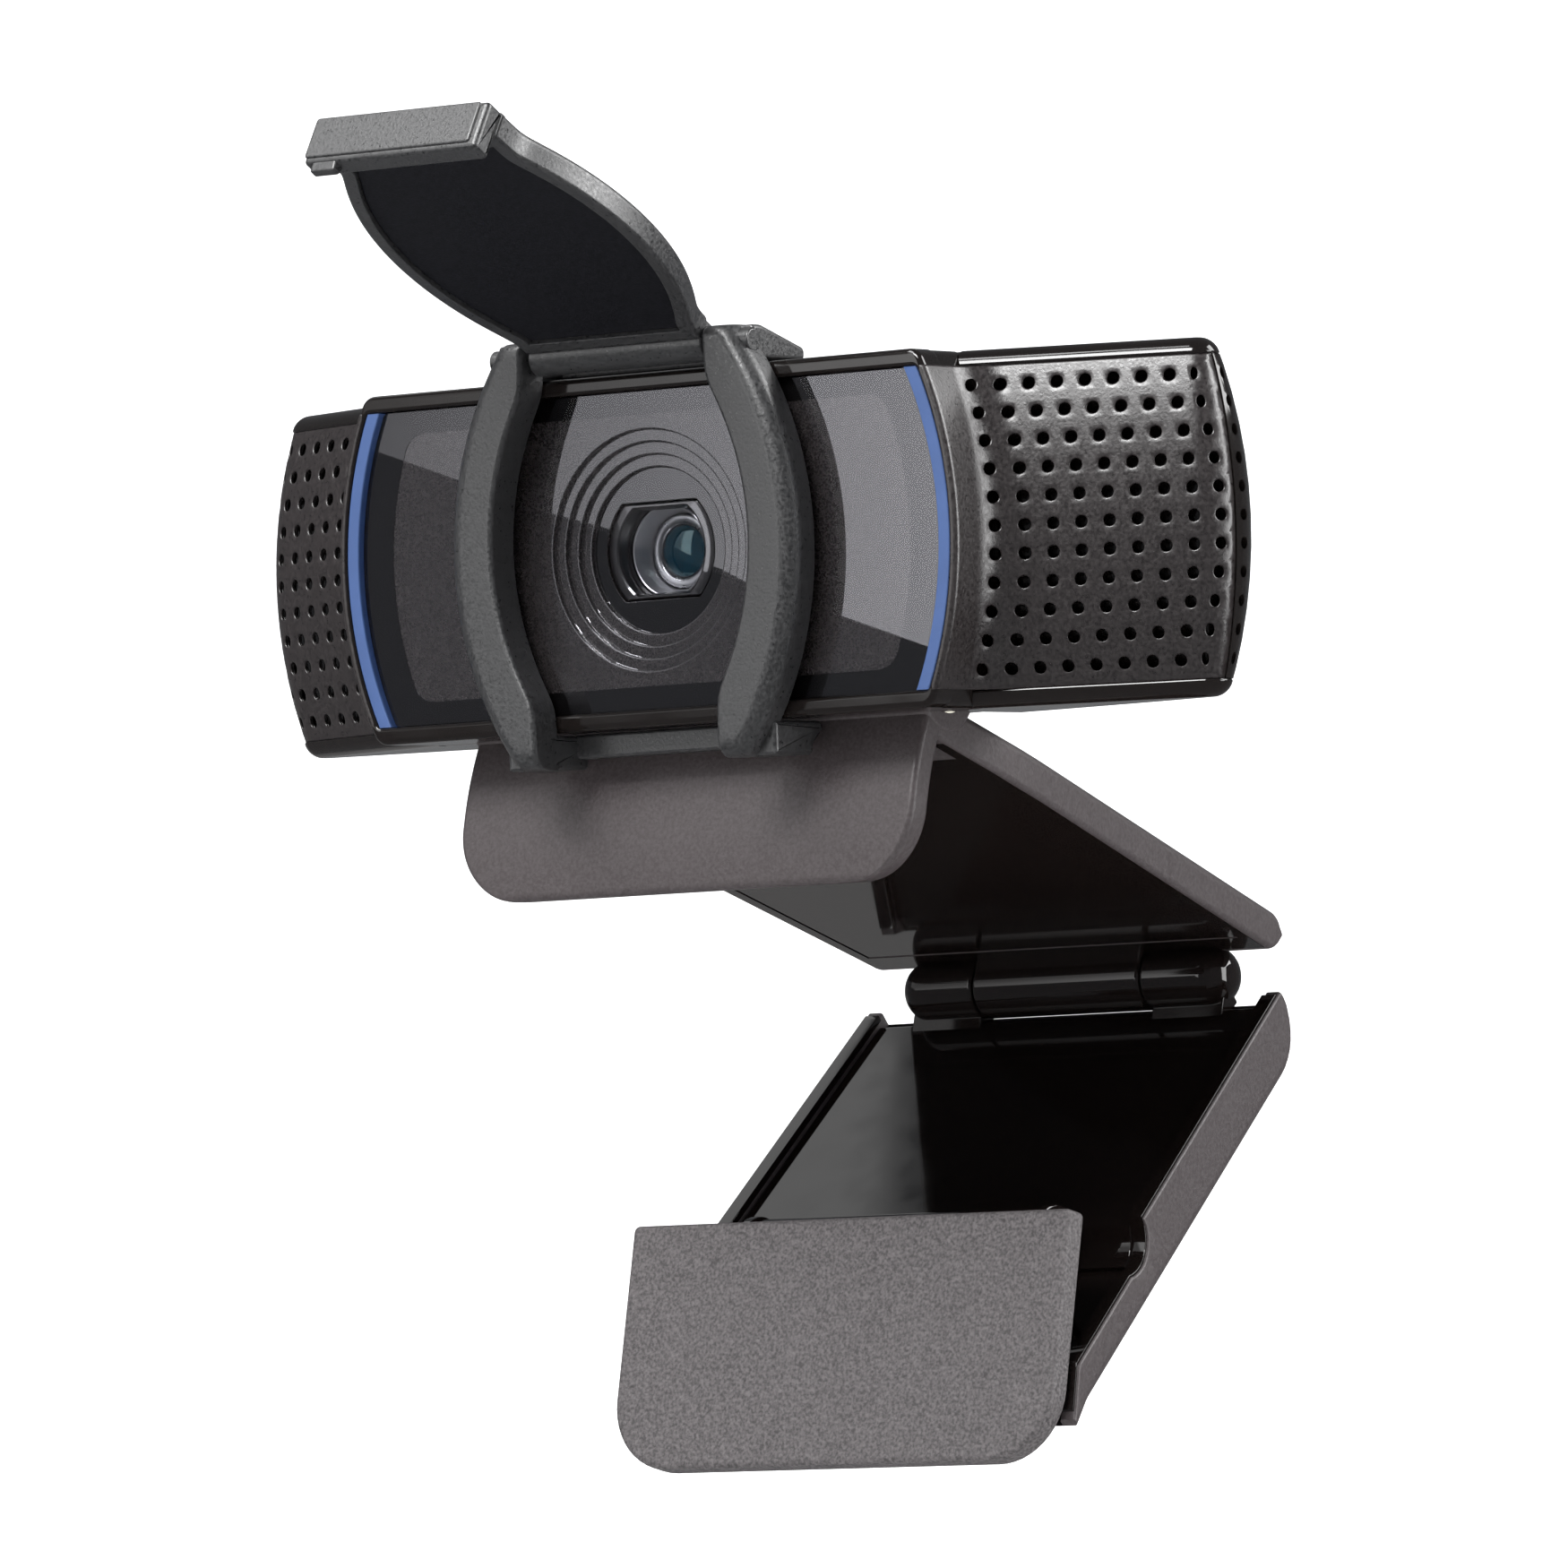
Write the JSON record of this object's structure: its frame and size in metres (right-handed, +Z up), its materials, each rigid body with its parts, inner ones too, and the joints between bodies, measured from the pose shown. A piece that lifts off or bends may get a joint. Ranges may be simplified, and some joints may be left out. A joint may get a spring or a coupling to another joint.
{
  "type": "webcam on a fold-out clip",
  "caption": "Wide webcam head with perforated wings, a flip-down privacy shutter and a tilt hinge, on a screen clip with a folding leg, a turning foot and a tripod thread.",
  "frame": {"origin": "point on the underside of the clip's arm, in the middle of its width, that sits on the screen's top edge; the lens axis is 20.85 mm above it and the window's face 20 mm in front of it", "axes": "+Z up, -Y towards the person in front of the camera, +X across, to the right as that person sees it"},
  "size_m": [0.0992, 0.0916, 0.1108],
  "materials": {
    "shell_gloss": "gloss black, moulded",
    "grille_plastic": "matte warm dark grey, fine texture",
    "window_glass": "clear glossy window with a dark printed border",
    "light_strip": "translucent blue light guide",
    "surround_plastic": "dark grey, fine grain",
    "bezel_gloss": "gloss black",
    "lens_glass": "coated optical glass",
    "ring_chrome": "bright ring",
    "lens_plastic": "matte black",
    "coil_copper": "lacquered copper wire",
    "board_resin": "green circuit board",
    "component_black": "matte black packages",
    "microphone_metal": "gold-plated cans",
    "housing_metal": "cast housing",
    "steel": "plain steel",
    "bush_plastic": "natural acetal",
    "gland_rubber": "soft black rubber",
    "shutter_plastic": "cool dark grey, fine grain",
    "lining_plastic": "very dark navy",
    "clip_plastic": "warm grey, fine texture",
    "panel_gloss": "gloss black",
    "insert_brass": "turned brass",
    "foot_rubber": "grey rubber with a leather-like grain"
  },
  "bodies": {
    "clip": {"clip_arm": "clip_plastic", "arm_panel": "panel_gloss", "tilt_bushes": "bush_plastic", "hinge_pin": "steel"},
    "head": {"rear_shell": "shell_gloss", "front_frame": "shell_gloss", "left_grille": "grille_plastic", "right_grille": "grille_plastic", "front_window": "window_glass", "left_light_strip": "light_strip", "right_light_strip": "light_strip", "lens_surround": "surround_plastic", "lens_bezel": "bezel_gloss", "focus_housing": "housing_metal", "light_filter": "lens_glass", "image_sensor": "component_black", "circuit_board": "board_resin", "board_chips": "component_black", "microphones": "microphone_metal", "board_screws": "steel", "shell_screws": "steel", "cable_gland": "gland_rubber", "tilt_pin": "steel", "shutter_frame": "shutter_plastic", "shutter_pin": "steel"},
    "lens": {"lens_barrel": "lens_plastic", "lens_ring": "ring_chrome", "front_lens": "lens_glass", "rear_lens": "lens_glass", "focus_coil": "coil_copper"},
    "flap": {"shutter_flap": "shutter_plastic", "flap_lining": "lining_plastic"},
    "leg": {"leg_cover": "clip_plastic", "leg_panel": "panel_gloss", "tripod_insert": "insert_brass", "leg_screws": "steel", "foot_axle": "steel"},
    "foot": {"foot_backing": "shell_gloss", "foot_pad": "foot_rubber"}
  },
  "joints": [
    {"name": "camera_tilt", "type": "hinge", "parent": "clip", "child": "head", "pos_m": [0, -0.0106, 0.00845], "axis": [1, 0, 0], "range_deg": [-15, 8]},
    {"name": "lens_focus", "type": "slide", "parent": "head", "child": "lens", "axis": [0, -1, 0], "range_m": [0, 0.00035], "stiffness_N_per_m": 60},
    {"name": "flap_hinge", "type": "hinge", "parent": "head", "child": "flap", "pos_m": [0, -0.0216, 0.03705], "axis": [1, 0, 0], "range_deg": [0, 120.8]},
    {"name": "leg_fold", "type": "hinge", "parent": "clip", "child": "leg", "pos_m": [0, 0.03731, -0.01511], "axis": [1, 0, 0], "range_deg": [-42, 105]},
    {"name": "foot_turn", "type": "hinge", "parent": "leg", "child": "foot", "pos_m": [0, 0.01189, -0.03678], "axis": [-1, 0, 0], "range_deg": [-1, 85]}
  ]
}
